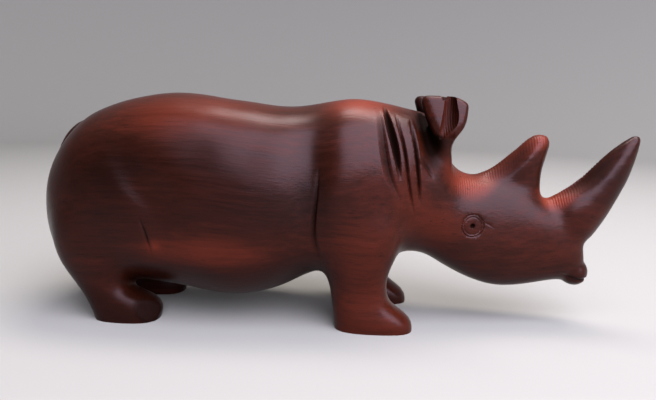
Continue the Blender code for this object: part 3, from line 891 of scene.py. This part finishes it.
def grain(length, width, detail):
    """Noise drawn out along the grain, its marks about as long and as wide as given."""
    scale = (0.5 / length, 0.5 / width, 0.5 / width)
    mapped = add(tree, "Mapping", {"Vector": bent, "Rotation": (0, GRAIN_SLOPE, 0), "Scale": scale})
    marks = add(tree, "TexNoise", {"Vector": mapped.outputs[0], "Scale": 1.0, "Detail": detail})
    return marks.outputs["Fac"]


patches = grain(PATCH_LENGTH, PATCH_WIDTH, 3.0)
streaks = grain(STREAK_LENGTH, STREAK_WIDTH, 3.0)
fibres = grain(FIBRE_LENGTH, FIBRE_WIDTH, 2.0)
# Amounts kept on the skin: stain with painted light and shade, wear with painted highlights and
# bounce light, and painted shade with dark wax.
stain_and_light = add(tree, "Attribute", attribute_name="stain and painted light").outputs["Fac"]
wear_and_painted_light = add(tree, "Attribute", attribute_name="wear_and_painted_light").outputs["Fac"]
grime_and_shade = add(tree, "Attribute", attribute_name="grime_and_shade").outputs["Fac"]

redness_shares = (
    (stain_and_light, STAIN_AND_LIGHT_SHARE),
    (patches, PATCH_SHARE),
    (streaks, STREAK_SHARE),
    (fibres, FIBRE_SHARE),
)
redness = -STAIN_AND_LIGHT_SHARE / 2
for amount, share in redness_shares:
    redness = {0: amount, 1: share, 2: redness}
    redness = add(tree, "Math", redness, operation="MULTIPLY_ADD").outputs[0]
stain = add(tree, "ValToRGB", {"Fac": redness})
stain.color_ramp.elements.new(0.5)
for stop, (position, shade) in zip(stain.color_ramp.elements, STAIN_STOPS):
    stop.position = position
    stop.color = linear(shade)

low, high = PORE_FIBRES
pores = add(tree, "MapRange", {"Value": fibres, "From Min": low, "From Max": high}).outputs[0]
low, high = WEAR_AND_LIGHT_PATCH_RANGE
patchy = add(tree, "MapRange", {"Value": patches, "From Min": low, "From Max": high}).outputs[0]
patchy = {0: patchy, 1: WEAR_AND_LIGHT_PATCHY, 2: WEAR_AND_LIGHT_LEAST}
patchy = add(tree, "Math", patchy, operation="MULTIPLY_ADD").outputs[0]
wear_and_light_red = add(tree, "Math", {0: wear_and_painted_light, 1: patchy}, operation="MULTIPLY").outputs[0]
colour = stain.outputs["Color"]
# Red is mixed in where the wood is worn and where highlights and bounce light are painted. Dark
# brown is mixed in at the pores, and where shade is painted in the cuts and hollows.
for amount, over in ((wear_and_light_red, WEAR_AND_LIGHT_RED), (pores, PORE_GRIME_AND_SHADE_BROWN), (grime_and_shade, PORE_GRIME_AND_SHADE_BROWN)):
    colour = add(tree, "Mix", {0: amount, 6: colour, 7: linear(over)}, data_type="RGBA").outputs[2]

rough_shares = (
    (streaks, STREAK_ROUGHNESS),
    (grime_and_shade, GRIME_AND_SHADE_ROUGHNESS),
    (wear_and_painted_light, WEAR_AND_LIGHT_ROUGHNESS),
)
rough = WAXED_ROUGHNESS - STREAK_ROUGHNESS / 2
for amount, share in rough_shares:
    rough = {0: amount, 1: share, 2: rough}
    rough = add(tree, "Math", rough, operation="MULTIPLY_ADD").outputs[0]
shine = {0: grime_and_shade, 1: -GRIME_AND_SHADE_DULLING * WAXED_SHINE, 2: WAXED_SHINE}
shine = add(tree, "Math", shine, operation="MULTIPLY_ADD").outputs[0]
relief = {0: streaks, 1: RELIEF_STREAKS, 2: fibres}
relief = add(tree, "Math", relief, operation="MULTIPLY_ADD").outputs[0]
relief = {"Height": relief, "Strength": RELIEF_STRENGTH, "Distance": RELIEF_DEPTH}
surface = add(
    tree,
    "BsdfPrincipled",
    {
        "Base Color": colour,
        "Roughness": rough,
        "IOR": WAX_INDEX,
        "Specular IOR Level": shine,
        "Specular Tint": linear(SHINE_TINT),
        "Normal": add(tree, "Bump", relief).outputs[0],
    },
)
add(tree, "OutputMaterial", {"Surface": surface.outputs[0]})
carving.data.materials.clear()
carving.data.materials.append(wood)
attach(carving, "root")
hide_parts("rhinoceros")

# Table and backdrop
# A plain sheet of matt painted board, level under the figure, that curves up into a wall all
# round it.
COVE_FLOOR_RADIUS = 1.1
COVE_BEND = 0.7
COVE_HEIGHT = 1.5
COVE_SIDES = 96
COVE_BEND_STEPS = 24
COVE_COLOUR = "#8B8985"
BOARD_ROUGHNESS = 0.9
BOARD_SHINE = 0.1

profile = [(0.0, 0.0), (COVE_FLOOR_RADIUS, 0.0)]
for k in range(1, COVE_BEND_STEPS + 1):
    turn = math.radians(90) * k / COVE_BEND_STEPS
    radius = COVE_FLOOR_RADIUS + COVE_BEND * math.sin(turn)
    profile.append((radius, COVE_BEND * (1 - math.cos(turn))))
profile.append((COVE_FLOOR_RADIUS + COVE_BEND, COVE_HEIGHT))
block = bmesh.new()
outline = [block.verts.new((radius, 0.0, height)) for radius, height in profile]
edges = [block.edges.new(pair) for pair in zip(outline, outline[1:])]
bmesh.ops.spin(
    block, geom=outline + edges, axis=(0, 0, 1), angle=math.tau, steps=COVE_SIDES, use_merge=True
)
bmesh.ops.remove_doubles(block, verts=block.verts[:], dist=1e-5)
for face in block.faces:
    face.smooth = True
cove = bpy.data.objects.new("cove", bpy.data.meshes.new("cove"))
block.to_mesh(cove.data)
block.free()
bpy.context.scene.collection.objects.link(cove)
board = bpy.data.materials.new("Matt painted board")
board.use_nodes = True
paint = board.node_tree.nodes["Principled BSDF"]
paint.inputs["Base Color"].default_value = linear(COVE_COLOUR)
paint.inputs["Roughness"].default_value = BOARD_ROUGHNESS
paint.inputs["Specular IOR Level"].default_value = BOARD_SHINE
cove.data.materials.append(board)

# Light
# A wide cool soft box stands to the right above the camera, and a long narrow one overhead. The
# room itself is white and dim.
# Each box: place, what it faces, width and height, radiance, colour.
SOFT_BOXES = {
    "window": ((0.59, -0.726, 0.96), (0.33, 0.094, 0.07), (1.65, 1.66), 9.5, "#EDEEFF"),
    "overhead": ((0.22, 0.22, 1.10), (0.16, 0.0, 0.06), (0.80, 0.34), 17.0, "#FFF8F2"),
}
ROOM_COLOUR = "#FFFFFF"
ROOM_BRIGHTNESS = 0.40

for name, (where, aim, size, radiance, colour) in SOFT_BOXES.items():
    lamp = bpy.data.lights.new(name, "AREA")
    lamp.shape = "RECTANGLE"
    lamp.size, lamp.size_y = size
    lamp.energy = math.pi * size[0] * size[1] * radiance
    lamp.color = linear(colour)[:3]
    holder = bpy.data.objects.new(name, lamp)
    holder.location = where
    holder.rotation_euler = (Vector(where) - Vector(aim)).to_track_quat("Z", "Y").to_euler()
    bpy.context.scene.collection.objects.link(holder)

room = bpy.data.worlds.new("pale room")
room.use_nodes = True
room.node_tree.nodes["Background"].inputs["Color"].default_value = linear(ROOM_COLOUR)
room.node_tree.nodes["Background"].inputs["Strength"].default_value = ROOM_BRIGHTNESS
bpy.context.scene.world = room
bpy.context.scene.view_settings.view_transform = "Standard"

# Camera
# It stands where the photograph was taken from: 0.3 m away and level with the back, turned
# slightly towards the rump and tipped down, with the picture a little rolled. The focal length
# and the horizon's row are in pixels of the photograph.
PHOTO_WIDTH = 656
PHOTO_HEIGHT = 400
FOCAL_IN_PIXELS = 585
HORIZON_ROW = 97
CAMERA_DISTANCE = 0.300
CAMERA_HEIGHT = 0.1125
CAMERA_AZIMUTH = math.radians(2.5)
CAMERA_ROLL = math.radians(1.7)
AIM_ALONG = -0.0044
SENSOR_WIDTH_MM = 36

camera = bpy.data.objects.new("camera", bpy.data.cameras.new("camera"))
camera.data.sensor_width = SENSOR_WIDTH_MM
camera.data.lens = FOCAL_IN_PIXELS * SENSOR_WIDTH_MM / PHOTO_WIDTH
camera.data.clip_start = 0.01
camera.location = (
    AIM_ALONG + CAMERA_DISTANCE * math.sin(CAMERA_AZIMUTH),
    -CAMERA_DISTANCE * math.cos(CAMERA_AZIMUTH),
    CAMERA_HEIGHT,
)
tip = math.atan2(PHOTO_HEIGHT / 2 - HORIZON_ROW, FOCAL_IN_PIXELS)
level = Matrix.Rotation(CAMERA_AZIMUTH, 4, "Z") @ Matrix.Rotation(math.pi / 2 - tip, 4, "X")
camera.rotation_euler = (level @ Matrix.Rotation(CAMERA_ROLL, 4, "Z")).to_euler()
bpy.context.scene.collection.objects.link(camera)
bpy.context.scene.camera = camera
